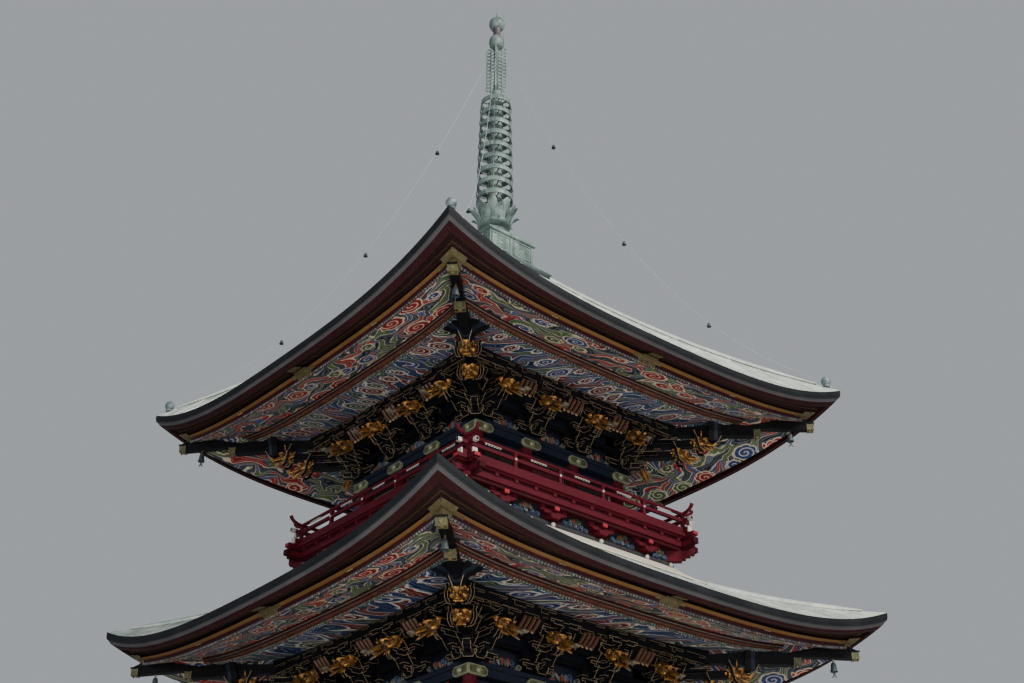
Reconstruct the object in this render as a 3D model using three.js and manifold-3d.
// A three-storied timber pagoda with painted board eaves, copper roofs and a bronze spire.
// Millimetres, +Z up, origin on the axis at ground level, faces along +-X and +-Y, front towards -Y.
import * as THREE from 'three';
import { mergeVertices } from 'three/addons/utils/BufferGeometryUtils.js';
import Module from 'manifold-3d';

const wasm = await Module();
wasm.setup();

// Driving dimensions
const seatGap = 0.3;
const storeys = [
  {
    level: 1, roofHalf: 5200, eaveZ: 5340, roofInner: 2980, roofRise: 1340,
    wallHalf: 2290, beamTop: 4500, floorZ: 1450,
  },
  {
    level: 2, roofHalf: 4950, eaveZ: 9815, roofInner: 2750, roofRise: 1355,
    wallHalf: 2040, beamTop: 8970, floorZ: 7650,
  },
  {
    level: 3, roofHalf: 4700, eaveZ: 14235, roofInner: 800, roofRise: 3535,
    wallHalf: 1790, beamTop: 13410, floorZ: 12100,
  },
];
const tipRise = 675;
const coverEdge = 80;
const coverThick = 120;
const boardThick = 85;
const columnDiameter = 240;
const wallFrameDepth = 250;
const wallThick = 70;
const plateHeight = 80;
const tieHeight = 130;
const sillHeight = 150;
const waistReach = 510;
const balconyReach = 660;
const railingOut = 50;
const windowHalf = 430;
const windowSill = 1150;
const windowHead = 2150;
const doorwayHalf = 520;
const doorwaySill = 150;
const doorwayHead = 2250;
const baseTop = 900;
const baseHalf = 4000;
const verandaHalf = 3350;
const stepsHalf = 950;
const gateHalf = 950;
const boxTop = 18620;
const lotusTop = 19700;
const ringLow = 19800;
const ringHigh = 22330;
const ringsTop = 22660;
const flamesTop = 23960;
const spireTop = 25000;
const copperGreen = 0xb9c6bd;
const lacquerBlack = 0x17191c;
const lacquerRed = 0x7c1620;
const bronzeGreen = 0x8f9f95;

// Solid helpers
function closed(geometry) {
  const bare = geometry.clone();
  bare.deleteAttribute('normal');
  bare.deleteAttribute('uv');
  const merged = mergeVertices(bare, 1e-3);
  const position = merged.getAttribute('position').array;
  const index = Array.from(merged.index.array);
  const kept = [];
  for (let i = 0; i < index.length; i += 3) {
    const [a, b, c] = [index[i], index[i + 1], index[i + 2]];
    if (a !== b && b !== c && c !== a) kept.push(a, b, c);
  }
  const corner = (k) => new THREE.Vector3().fromArray(position, 3 * k);
  let volume = 0;
  for (let i = 0; i < kept.length; i += 3) {
    volume += corner(kept[i]).dot(corner(kept[i + 1]).cross(corner(kept[i + 2])));
  }
  if (volume < 0) kept.reverse();
  return new wasm.Manifold(new wasm.Mesh({
    numProp: 3,
    vertProperties: Float32Array.from(position),
    triVerts: Uint32Array.from(kept),
  }));
}

function joined(geometries) {
  return geometries.map(closed).reduce((sum, solid) => sum.add(solid));
}

function named(name, solid, color, roughness, metalness) {
  const mesh = solid.getMesh();
  const geometry = new THREE.BufferGeometry();
  geometry.setAttribute('position', new THREE.BufferAttribute(Float32Array.from(mesh.vertProperties), 3));
  geometry.setIndex(new THREE.BufferAttribute(Uint32Array.from(mesh.triVerts), 1));
  geometry.computeVertexNormals();
  const piece = new THREE.Mesh(geometry, new THREE.MeshStandardMaterial({ color, roughness, metalness }));
  piece.name = name;
  return piece;
}

// A box between two corners.
function slab(x0, x1, y0, y1, z0, z1) {
  const geometry = new THREE.BoxGeometry(x1 - x0, y1 - y0, z1 - z0);
  return geometry.translate((x0 + x1) / 2, (y0 + y1) / 2, (z0 + z1) / 2);
}

// The same geometries on all four sides, drawn on the front one.
function onFourSides(geometries) {
  return [0, 1, 2, 3].flatMap((side) => geometries.map((g) => g.clone().rotateZ(side * Math.PI / 2)));
}

function lathe(profile, sides) {
  const points = profile.map(([r, z]) => new THREE.Vector2(r, z));
  return new THREE.LatheGeometry(points, sides).rotateX(Math.PI / 2);
}

// Corner rise of an eave line: 0 at mid face, 1 at the corner.
function cornerRise(t) {
  return 0.25 * t ** 2 + 0.75 * Math.abs(t) ** 3.6;
}

// A closed profile of [half width, height, lift] points taken round a square plan.
// Each point rises towards the corners by its own lift.
const curvedStations = [-1, -0.86, -0.58, 0, 0.58, 0.86];
const straightStations = [-1];
function squareRing(profile, stations = curvedStations) {
  const loop = [...profile, profile[0]];
  const points = loop.map(([half, z]) => new THREE.Vector2(half, z));
  const segments = 4 * stations.length;
  const geometry = new THREE.LatheGeometry(points, segments);
  const position = geometry.getAttribute('position');
  for (let i = 0; i <= segments; i += 1) {
    const turn = Math.floor(i / stations.length) * Math.PI / 2;
    const t = stations[i % stations.length];
    loop.forEach(([half, z, lift = 0], j) => {
      const x = t * half * Math.cos(turn) + half * Math.sin(turn);
      const y = t * half * Math.sin(turn) - half * Math.cos(turn);
      position.setXYZ(i * loop.length + j, x, y, z + lift * cornerRise(t));
    });
  }
  return geometry;
}

// A straight square ring between two half widths.
function frameRing(inner, outer, z0, z1) {
  const shape = new THREE.Shape([
    new THREE.Vector2(-outer, -outer), new THREE.Vector2(outer, -outer),
    new THREE.Vector2(outer, outer), new THREE.Vector2(-outer, outer),
  ]);
  shape.holes.push(new THREE.Path([
    new THREE.Vector2(-inner, -inner), new THREE.Vector2(-inner, inner),
    new THREE.Vector2(inner, inner), new THREE.Vector2(inner, -inner),
  ]));
  return new THREE.ExtrudeGeometry(shape, { depth: z1 - z0, bevelEnabled: false }).translate(0, 0, z0);
}

// A bar along the diagonal towards the front right corner, from its side outline of [distance, z] points.
function diagonalBar(outline, width) {
  const shape = new THREE.Shape(outline.map(([d, z]) => new THREE.Vector2(d, z)));
  const bar = new THREE.ExtrudeGeometry(shape, { depth: width, bevelEnabled: false });
  return bar.translate(0, 0, -width / 2).rotateX(Math.PI / 2).rotateZ(-Math.PI / 4);
}

// Eave and roof, with z = 0 at the underside of the copper edge at mid face
function roofSurface(storey, reach) {
  const run = storey.roofHalf - storey.roofInner;
  const climb = storey.roofRise - coverEdge;
  const edgeSlope = 0.7 * climb / run;
  return coverEdge + edgeSlope * reach + (climb - edgeSlope * run) * (reach / run) ** 2;
}

function roofLift(storey, reach) {
  return tipRise * (1 - reach / (storey.roofHalf - storey.roofInner));
}

function roofCovering(storey) {
  const run = storey.roofHalf - storey.roofInner;
  const shelf = storey.level === 3 ? 420 : storey.roofInner - 700;
  const reaches = [0, 0.22, 0.5, 0.75, 1].map((share) => share * run);
  const top = reaches.map((d) => [storey.roofHalf - d, roofSurface(storey, d), roofLift(storey, d)]);
  const under = reaches.slice(1).reverse().map((d) => [
    storey.roofHalf - d, roofSurface(storey, d) - coverThick, roofLift(storey, d),
  ]);
  const profile = [
    [storey.roofHalf, 0, roofLift(storey, 0)],
    ...top,
    [shelf, storey.roofRise, 0],
    [shelf, storey.roofRise - coverThick, 0],
    ...under,
    [storey.roofHalf - 300, 0, tipRise],
  ];
  return closed(squareRing(profile));
}

function eaveEdge(storey) {
  const half = storey.roofHalf;
  return closed(squareRing([
    [half, -seatGap, tipRise],
    [half - 70, -80, 615],
    [half - 200, -105, 530],
    [half - 420, -55, 310],
    [half - 480, -95, 310],
    [half - 600, -60, 310],
    [half - 600, -10, 480],
    [half - 300, -seatGap, tipRise],
  ]));
}

// Undersides of the two board tiers, outer and inner, as [reach in from the eave, height, lift].
const boardEdges = {
  outer: [[520, -200, 310], [1300, 30, 200]],
  inner: [[1450, -110, 200], [2300, 60, 100]],
};
function eaveBoards(storey) {
  const half = storey.roofHalf;
  const at = ([reach, z, lift], up = 0) => [half - reach, z + up, lift];
  return closed(squareRing([
    [half - 480, -95 - seatGap, 310],
    [half - 600, -60 - seatGap, 310],
    [half - 1380, 30 + boardThick, 200],
    at(boardEdges.inner[1], boardThick),
    at(boardEdges.inner[1]),
    at(boardEdges.inner[0]),
    [half - 1430, -40, 200],
    [half - 1320, -40, 200],
    at(boardEdges.outer[1]),
    at(boardEdges.outer[0]),
  ]));
}

// Wind bell hung on a cross pin under each outer corner beam
function bellPin(storey) {
  return { reach: Math.SQRT2 * storey.roofHalf - 1020, z: -100 };
}

function windBell() {
  const shell = lathe([
    [0, -26], [36, -26], [50, -115], [66, -185], [58, -185], [42, -115], [26, -38], [0, -38],
  ], 6);
  const eye = (y) => {
    const plate = closed(slab(-15, 15, y - 4, y + 4, -34, 14));
    const hole = closed(slab(-9, 9, y - 9, y + 9, -16, 5 + seatGap));
    return plate.subtract(hole);
  };
  return closed(shell).add(eye(15)).add(eye(-15));
}

// Underside of the inner and outer boards beside a corner, at a distance from the axis along the diagonal.
function boardsOverBeam(storey, along, sideways) {
  const half = (along + sideways) / Math.SQRT2;
  const t = (along - sideways) / (along + sideways);
  const lastStation = curvedStations[curvedStations.length - 1];
  const rise = 1 - (1 - cornerRise(lastStation)) * (1 - t) / (1 - lastStation);
  const reach = storey.roofHalf - half;
  const [near, far] = reach < boardEdges.outer[1][0] ? boardEdges.outer : boardEdges.inner;
  const share = (reach - near[0]) / (far[0] - near[0]);
  const z = near[1] + share * (far[1] - near[1]);
  const lift = near[2] + share * (far[2] - near[2]);
  return z + lift * rise - 12;
}

// Purlin ring and two tiers of corner beams under the boards, with the wind bells' hangers.
function eaveFrame(storey) {
  const half = storey.roofHalf;
  const diagonal = (reach) => Math.SQRT2 * (half - reach);
  const outerTip = diagonal(0) - 580;
  const innerTip = diagonal(0) - 1570;
  const outerHalf = 90;
  const innerHalf = 100;
  const outerTop = (along) => [along, boardsOverBeam(storey, along, outerHalf)];
  const innerTop = (along) => [along, boardsOverBeam(storey, along, innerHalf)];
  const wallCorner = Math.SQRT2 * storey.wallHalf;
  const outerBeam = [
    [diagonal(1360), 0], [outerTip - 90, -85], [outerTip, 60], outerTop(diagonal(540)), outerTop(diagonal(1280)),
  ];
  const innerBeam = [
    [wallCorner, -110], [diagonal(2150), -110], [innerTip - 80, -175], [innerTip, 20],
    innerTop(diagonal(1470)), innerTop(diagonal(2290)), [wallCorner, 130],
  ];
  const [near, far] = boardEdges.inner;
  const share = (2220 - near[0]) / (far[0] - near[0]);
  const purlin = squareRing([
    [half - 2220, -110, 0],
    [half - 2220, near[1] + share * (far[1] - near[1]) - 8, near[2] + share * (far[2] - near[2])],
    [half - far[0], far[1] - seatGap, far[2]],
    [half - 2360, far[1] - seatGap, far[2]],
    [half - 2360, -110, 0],
  ]);
  const pin = bellPin(storey);
  const hanger = slab(pin.reach - 12, pin.reach + 12, -5, 5, pin.z - 8, pin.z + 90).rotateZ(-Math.PI / 4);
  const pinBar = new THREE.CylinderGeometry(5, 5, 46, 6).translate(pin.reach, 0, 0)
    .translate(0, 0, pin.z).rotateZ(-Math.PI / 4);
  const corner = [diagonalBar(outerBeam, 2 * outerHalf), diagonalBar(innerBeam, 2 * innerHalf), hanger, pinBar];
  return joined([purlin, ...onFourSides(corner)]);
}

// Walls below the eave, in height above the ground
function columnPlaces(storey) {
  const outer = storey.wallHalf - wallFrameDepth / 2;
  return [-outer, -outer / 3, outer / 3];
}

function wallFrame(storey) {
  const half = storey.wallHalf;
  const axis = half - wallFrameDepth / 2;
  const foot = storey.floorZ + seatGap;
  const tieTop = storey.beamTop - plateHeight;
  const height = tieTop - foot;
  const columns = onFourSides(columnPlaces(storey).map((x) => (
    new THREE.CylinderGeometry(columnDiameter / 2, columnDiameter / 2, height, 8)
      .rotateX(Math.PI / 2).translate(x, -axis, foot + height / 2)
  )));
  const rings = [
    frameRing(half - wallFrameDepth, half, foot, foot + sillHeight),
    frameRing(half - wallFrameDepth, half, tieTop - tieHeight, tieTop),
    frameRing(half - wallFrameDepth, half + 30, tieTop, storey.beamTop),
  ];
  return joined([...columns, ...rings]);
}

function wallPanels(storey) {
  const outer = storey.wallHalf - wallFrameDepth - seatGap;
  const top = storey.eaveZ + 250;
  const ring = closed(frameRing(outer - wallThick, outer, storey.floorZ + seatGap, top));
  if (storey.level > 1) return ring;
  const bay = 2 * (storey.wallHalf - wallFrameDepth / 2) / 3;
  const through = [-outer - 50, -outer + 150];
  const floor = storey.floorZ;
  const window = (x) => slab(x - windowHalf, x + windowHalf, ...through, floor + windowSill, floor + windowHead);
  const windows = onFourSides([window(-bay), window(bay)]);
  const doorway = slab(-doorwayHalf, doorwayHalf, ...through, floor + doorwaySill, floor + doorwayHead);
  return ring.subtract(joined([...windows, doorway]));
}

function doorLeaf(storey, side) {
  const face = storey.wallHalf - wallFrameDepth - seatGap;
  const near = 3;
  const far = doorwayHalf - 4;
  const across = [Math.min(side * near, side * far), Math.max(side * near, side * far)];
  const foot = storey.floorZ + doorwaySill + seatGap;
  const head = storey.floorZ + doorwayHead - seatGap;
  return closed(slab(...across, -face + 5, -face + 55, foot, head));
}

// Three-step brackets over each column, held together by continuous beams at each step.
function brackets(storey) {
  const half = storey.wallHalf;
  const foot = storey.beamTop + seatGap;
  const top = storey.eaveZ - 110 - seatGap;
  const step = (top - foot) / 3;
  const reach = (storey.roofHalf - 2220 - half) / 3;
  const arm = (width) => {
    const outline = [
      [-wallFrameDepth, 0], [60, 0], [reach, 0.55 * step], [reach + 60, step], [2 * reach + 60, 2 * step],
      [3 * reach, 2.5 * step], [3 * reach, 3 * step], [-wallFrameDepth, 3 * step],
    ];
    const shape = new THREE.Shape(outline.map(([d, z]) => new THREE.Vector2(d, z)));
    return new THREE.ExtrudeGeometry(shape, { depth: width, bevelEnabled: false }).translate(0, 0, -width / 2);
  };
  const faceArm = (x) => arm(130).rotateX(Math.PI / 2).rotateZ(-Math.PI / 2).translate(x, -half, foot);
  const places = columnPlaces(storey).slice(1);
  const corner = arm(170).rotateX(Math.PI / 2).scale(Math.SQRT2, Math.SQRT2, 1).rotateZ(-Math.PI / 4)
    .translate(half, -half, foot);
  const rings = [0.5, 3].map((n) => frameRing(
    half - 100 + n * reach, half + n * reach, foot + (n - 0.45) * step, foot + n * step,
  ));
  return joined([...onFourSides([...places.map(faceArm), corner]), ...rings]);
}

// Waist wall and balcony of an upper storey, standing on the roof below
function waist(storey, below) {
  const foot = below.eaveZ + below.roofRise + seatGap;
  const top = storey.floorZ - 140 - seatGap;
  const face = storey.wallHalf + waistReach;
  return closed(squareRing([
    [below.roofInner + 40, foot], [below.roofInner + 40, foot + 60], [face + 40, foot + 330],
    [face, foot + 330], [face, top], [face - 180, top], [face - 180, foot],
  ], straightStations));
}

function balcony(storey) {
  const half = storey.wallHalf + balconyReach;
  const floor = storey.floorZ;
  const deckHalf = half + 20;
  const deck = slab(-deckHalf, deckHalf, -deckHalf, deckHalf, floor - 140, floor);
  const rim = slab(-half - 330, half + 330, -half - 145, -half - 15, floor - 105, floor + 40);
  const under = slab(-half - 390, half + 390, -half - 70, -half + 40, floor - 290, floor - 130);
  const outer = storey.wallHalf - wallFrameDepth / 2;
  const arms = [-1, -1 / 3, 1 / 3, 1].map((share) => (
    slab(share * outer - 65, share * outer + 65, -half - 50, -half + 135, floor - 400, floor - 280)
  ));
  return joined([deck, ...onFourSides([rim, under, ...arms])]);
}

// Railing: posts and three rails a side, crossing at the corners with upturned top ends.
const balconyPosts = [-1, -0.6, -0.2, 0.2, 0.6];
const verandaPosts = [-1, -0.66, -0.33, 0.33, 0.66];
const topRailFoot = 370;
const topRailTop = 440;
function railing(axis, floor, postShares, gate) {
  const post = (x) => slab(x - 34, x + 34, -axis - 34, -axis + 34, floor + seatGap, floor + topRailFoot + 20);
  const rail = (past, z0, z1, depth) => slab(-axis - past, axis + past, -axis - depth, -axis + depth, z0, z1);
  const rightEnd = [
    [axis, topRailFoot], [axis + 150, 400], [axis + 250, 470], [axis + 270, 540], [axis + 130, 475],
    [axis, topRailTop],
  ];
  const leftEnd = rightEnd.map(([x, z]) => [-x, z]).reverse();
  const topShape = new THREE.Shape([...rightEnd, ...leftEnd].map(([x, z]) => new THREE.Vector2(x, z)));
  const topRail = new THREE.ExtrudeGeometry(topShape, { depth: 74, bevelEnabled: false })
    .translate(0, 0, -37).rotateX(Math.PI / 2).translate(0, -axis, floor);
  const pieces = [
    rail(180, floor + seatGap, floor + 115, 50),
    rail(235, floor + 235, floor + 300, 34),
    topRail,
    ...postShares.map((share) => post(share * axis)),
  ];
  const whole = joined(onFourSides(pieces));
  if (!gate) return whole;
  return whole.subtract(closed(slab(-gate, gate, -axis - 200, -axis + 200, floor - 10, floor + 700)));
}

// Stone base, veranda and steps
function stoneBase() {
  const tier = (half, z0, z1) => slab(-half, half, -half, half, z0, z1);
  return joined([
    tier(baseHalf, 0, 250),
    tier(baseHalf - 250, 250, baseTop - 150),
    tier(baseHalf - 150, baseTop - 150, baseTop),
  ]);
}

function veranda() {
  const floor = storeys[0].floorZ;
  const postAxis = 0.94 * verandaHalf;
  const posts = [-1, -0.5, 0, 0.5].map((share) => {
    const x = share * postAxis;
    return slab(x - 90, x + 90, -postAxis - 90, -postAxis + 90, baseTop + seatGap, floor - 100);
  });
  const edge = slab(-verandaHalf, verandaHalf, -verandaHalf, -verandaHalf + 140, floor - 220, floor - 60);
  const inner = verandaHalf - 20;
  const floorSlab = slab(-inner, inner, -inner, inner, floor - 110, floor);
  const stepRise = (floor - baseTop) / 3;
  const stepDepth = 240;
  const steps = [1, 2].map((n) => slab(
    -stepsHalf, stepsHalf, -verandaHalf - stepDepth * (3 - n), -verandaHalf + 10,
    baseTop + seatGap, baseTop + n * stepRise,
  ));
  return joined([floorSlab, ...onFourSides([edge, ...posts]), ...steps]);
}

function frontSteps() {
  const count = 4;
  const rise = baseTop / (count + 1);
  const near = -baseHalf - seatGap;
  const tread = (storeys[0].roofHalf + near) / count;
  const flight = [];
  for (let n = 1; n <= count; n += 1) {
    flight.push(slab(-stepsHalf, stepsHalf, near - tread * (count - n + 1), near, 0, rise * n));
  }
  return joined(flight);
}

// Spire
const spireBase = storeys[2].eaveZ + storeys[2].roofRise;
function spireBox() {
  const foot = spireBase + seatGap;
  return closed(squareRing([
    [800, foot], [840, foot + 90], [840, foot + 110], [600, foot + 340], [575, foot + 360],
    [575, boxTop - 80], [615, boxTop - 70], [615, boxTop], [60, boxTop], [60, foot],
  ], straightStations));
}

function bowl() {
  const arc = [0, 0.35, 0.7, 1].map((s) => {
    const turn = s * 0.42 * Math.PI;
    return [420 * Math.cos(turn), boxTop + seatGap + 460 * Math.sin(turn)];
  });
  return closed(lathe([[0, boxTop + seatGap], ...arc, [0, arc[3][1]]], 16));
}

const bowlTop = boxTop + seatGap + 460 * Math.sin(0.42 * Math.PI);
function lotus() {
  const foot = bowlTop + seatGap;
  return closed(lathe([
    [0, foot], [230, foot], [340, foot + 90], [300, foot + 170], [400, foot + 300], [545, foot + 700],
    [510, foot + 705], [330, foot + 350], [170, foot + 300], [150, lotusTop], [0, lotusTop],
  ], 14));
}

function ringStack() {
  const foot = lotusTop + seatGap;
  const pillar = new THREE.CylinderGeometry(125, 140, ringsTop - foot, 8)
    .rotateX(Math.PI / 2).translate(0, 0, (foot + ringsTop) / 2);
  const pieces = [pillar];
  for (let n = 0; n < 9; n += 1) {
    const share = n / 8;
    const z = ringLow + share * (ringHigh - ringLow);
    const r = 388 - share * 54;
    pieces.push(lathe([[r, z - 60], [r - 6, z + 60], [r - 45, z + 60], [r - 45, z - 60], [r, z - 60]], 10));
    pieces.push(slab(-r + 25, r - 25, -20, 20, z - 10, z + 30).rotateZ(n * Math.PI / 4));
  }
  return joined(pieces);
}

function flameBlades() {
  const foot = ringsTop + seatGap;
  const rod = new THREE.CylinderGeometry(60, 75, flamesTop - foot, 12)
    .rotateX(Math.PI / 2).translate(0, 0, (foot + flamesTop) / 2);
  const blade = slab(-235, 235, -12, 12, foot + 20, flamesTop - 20);
  return joined([rod, blade.clone().rotateZ(Math.PI / 4), blade.clone().rotateZ(-Math.PI / 4)]);
}

function ball(z0, z1, radius) {
  const middle = (z0 + z1) / 2;
  const tall = (z1 - z0) / 2;
  const arc = [-90, -50, -17, 17, 50, 90].map((deg) => {
    const turn = deg * Math.PI / 180;
    return [Math.max(radius * Math.cos(turn), 0), middle + tall * Math.sin(turn)];
  });
  arc[0][0] = 0;
  arc[5][0] = 0;
  return lathe(arc, 10);
}

const ballRadius = 172;
const lowerBallRound = () => ball(flamesTop - 30, flamesTop + 390, ballRadius);
function lowerBall() {
  const seat = closed(slab(-400, 400, -400, 400, flamesTop - 160, flamesTop + seatGap));
  return closed(lowerBallRound()).subtract(seat);
}

function topJewel() {
  const seat = closed(lowerBallRound()).translate([0, 0, seatGap]);
  const neck = new THREE.CylinderGeometry(95, 110, 330, 14)
    .rotateX(Math.PI / 2).translate(0, 0, flamesTop + 495);
  const upperBall = ball(spireTop - 440, spireTop - 90, ballRadius);
  const tip = new THREE.CylinderGeometry(12, 22, 200, 8).rotateX(Math.PI / 2).translate(0, 0, spireTop - 100);
  return joined([neck, upperBall, tip]).subtract(seat);
}

// Corner knobs, chains and wind bells, drawn for the front right corner
const knobReach = 6400 / Math.SQRT2;
const topStorey = storeys[2];
function hipHeight(storey, half) {
  const reach = storey.roofHalf - half;
  return storey.eaveZ + roofSurface(storey, reach) + roofLift(storey, reach);
}

function cornerKnob(roof) {
  const foot = hipHeight(topStorey, knobReach);
  const stem = new THREE.CylinderGeometry(60, 75, 160, 6).rotateX(Math.PI / 2).translate(0, 0, foot);
  const body = joined([stem, ball(foot + 40, foot + 230, 92)]).translate([knobReach, -knobReach, 0]);
  return body.subtract(roof.translate([0, 0, topStorey.eaveZ + seatGap]));
}

// Route of a chain in the plane of a corner: distance from the axis and height.
const chainRadius = 9;
const chainRoute = [
  [244, 23450], [623, 22553], [1002, 21709], [1380, 20920], [1759, 20184], [2138, 19500], [2517, 18869],
  [2895, 18290], [3274, 17762], [3653, 17284], [4032, 16857], [4410, 16478], [4789, 16146], [5168, 15859],
  [5547, 15615], [5925, 15409], [6304, 15220],
];
const chainBellShares = [0.166, 0.4, 0.664];

function chainBell(at) {
  const profile = [[0, 0], [28, -20], [46, -84], [0, -84]];
  return lathe(profile, 6).translate(at[0], 0, at[1]);
}

function chain() {
  const curve = new THREE.CatmullRomCurve3(chainRoute.map(([d, z]) => new THREE.Vector3(d, 0, z)));
  const section = new THREE.Shape();
  for (let n = 0; n < 8; n += 1) {
    const turn = n * Math.PI / 4;
    const point = [chainRadius * Math.cos(turn), chainRadius * Math.sin(turn)];
    if (n === 0) section.moveTo(...point);
    else section.lineTo(...point);
  }
  const tube = new THREE.ExtrudeGeometry(section, { steps: 12, extrudePath: curve, curveSegments: 1 });
  const bells = chainBellShares.map((share) => {
    const at = curve.getPoint(share);
    return chainBell([at.x, at.z]);
  });
  return joined([tube, ...bells]);
}

// Assembly
const corners = ['front_right', 'back_right', 'back_left', 'front_left'];
const pagoda = new THREE.Group();
pagoda.add(named('stone_base', stoneBase(), 0x9a968e, 0.9, 0));
pagoda.add(named('front_steps', frontSteps(), 0x9a968e, 0.9, 0));
pagoda.add(named('veranda', veranda(), lacquerRed, 0.5, 0));
const verandaRails = railing(verandaHalf - 120, storeys[0].floorZ, verandaPosts, gateHalf);
pagoda.add(named('veranda_railing', verandaRails, lacquerRed, 0.5, 0));

for (const storey of storeys) {
  const tag = storey.level;
  const roof = roofCovering(storey);
  const boards = eaveBoards(storey);
  const eave = new THREE.Group();
  eave.position.z = storey.eaveZ;
  eave.add(named(`roof_${tag}`, roof, copperGreen, 0.5, 0.4));
  eave.add(named(`eave_edge_${tag}`, eaveEdge(storey), 0x3a2226, 0.6, 0));
  eave.add(named(`eave_boards_${tag}`, boards, 0x7a4a3c, 0.6, 0));
  eave.add(named(`eave_frame_${tag}`, eaveFrame(storey), lacquerBlack, 0.4, 0));
  pagoda.add(eave);
  pagoda.add(named(`brackets_${tag}`, brackets(storey), lacquerBlack, 0.4, 0));
  pagoda.add(named(`wall_frame_${tag}`, wallFrame(storey), lacquerBlack, 0.4, 0));
  pagoda.add(named(`wall_panels_${tag}`, wallPanels(storey), 0x101a2c, 0.5, 0));
  if (tag === 1) {
    pagoda.add(named('front_door_left', doorLeaf(storey, -1), lacquerRed, 0.5, 0));
    pagoda.add(named('front_door_right', doorLeaf(storey, 1), lacquerRed, 0.5, 0));
  } else {
    const below = storeys[tag - 2];
    pagoda.add(named(`waist_${tag}`, waist(storey, below), 0xc9c0ae, 0.6, 0));
    pagoda.add(named(`balcony_${tag}`, balcony(storey), lacquerRed, 0.45, 0));
    const rail = railing(storey.wallHalf + balconyReach + railingOut, storey.floorZ + 40, balconyPosts, 0);
    pagoda.add(named(`railing_${tag}`, rail, lacquerRed, 0.45, 0));
  }
}

pagoda.add(named('spire_box', spireBox(), bronzeGreen, 0.6, 0.5));
pagoda.add(named('spire_bowl', bowl(), bronzeGreen, 0.6, 0.5));
pagoda.add(named('spire_lotus', lotus(), bronzeGreen, 0.6, 0.5));
pagoda.add(named('spire_rings', ringStack(), bronzeGreen, 0.6, 0.5));
pagoda.add(named('spire_flames', flameBlades(), bronzeGreen, 0.6, 0.5));
pagoda.add(named('spire_lower_ball', lowerBall(), bronzeGreen, 0.6, 0.5));
pagoda.add(named('spire_jewel', topJewel(), bronzeGreen, 0.6, 0.5));

const topRoof = roofCovering(topStorey);
const knob = cornerKnob(topRoof);
const chainSolid = chain();
const bell = windBell();
corners.forEach((corner, side) => {
  const turn = (side - 0.5) * Math.PI / 2;
  for (const storey of storeys) {
    const pin = bellPin(storey);
    const hung = named(`wind_bell_${storey.level}_${corner}`, bell, 0x4a5450, 0.6, 0.6);
    hung.position.set(pin.reach * Math.cos(turn), pin.reach * Math.sin(turn), storey.eaveZ + pin.z);
    hung.rotation.z = turn;
    pagoda.add(hung);
  }
  const group = new THREE.Group();
  group.rotation.z = side * Math.PI / 2;
  group.add(named(`corner_knob_${corner}`, knob, bronzeGreen, 0.6, 0.5));
  const chainMesh = named(`chain_${corner}`, chainSolid, bronzeGreen, 0.6, 0.5);
  chainMesh.rotation.z = -Math.PI / 4;
  group.add(chainMesh);
  pagoda.add(group);
});

export default pagoda;
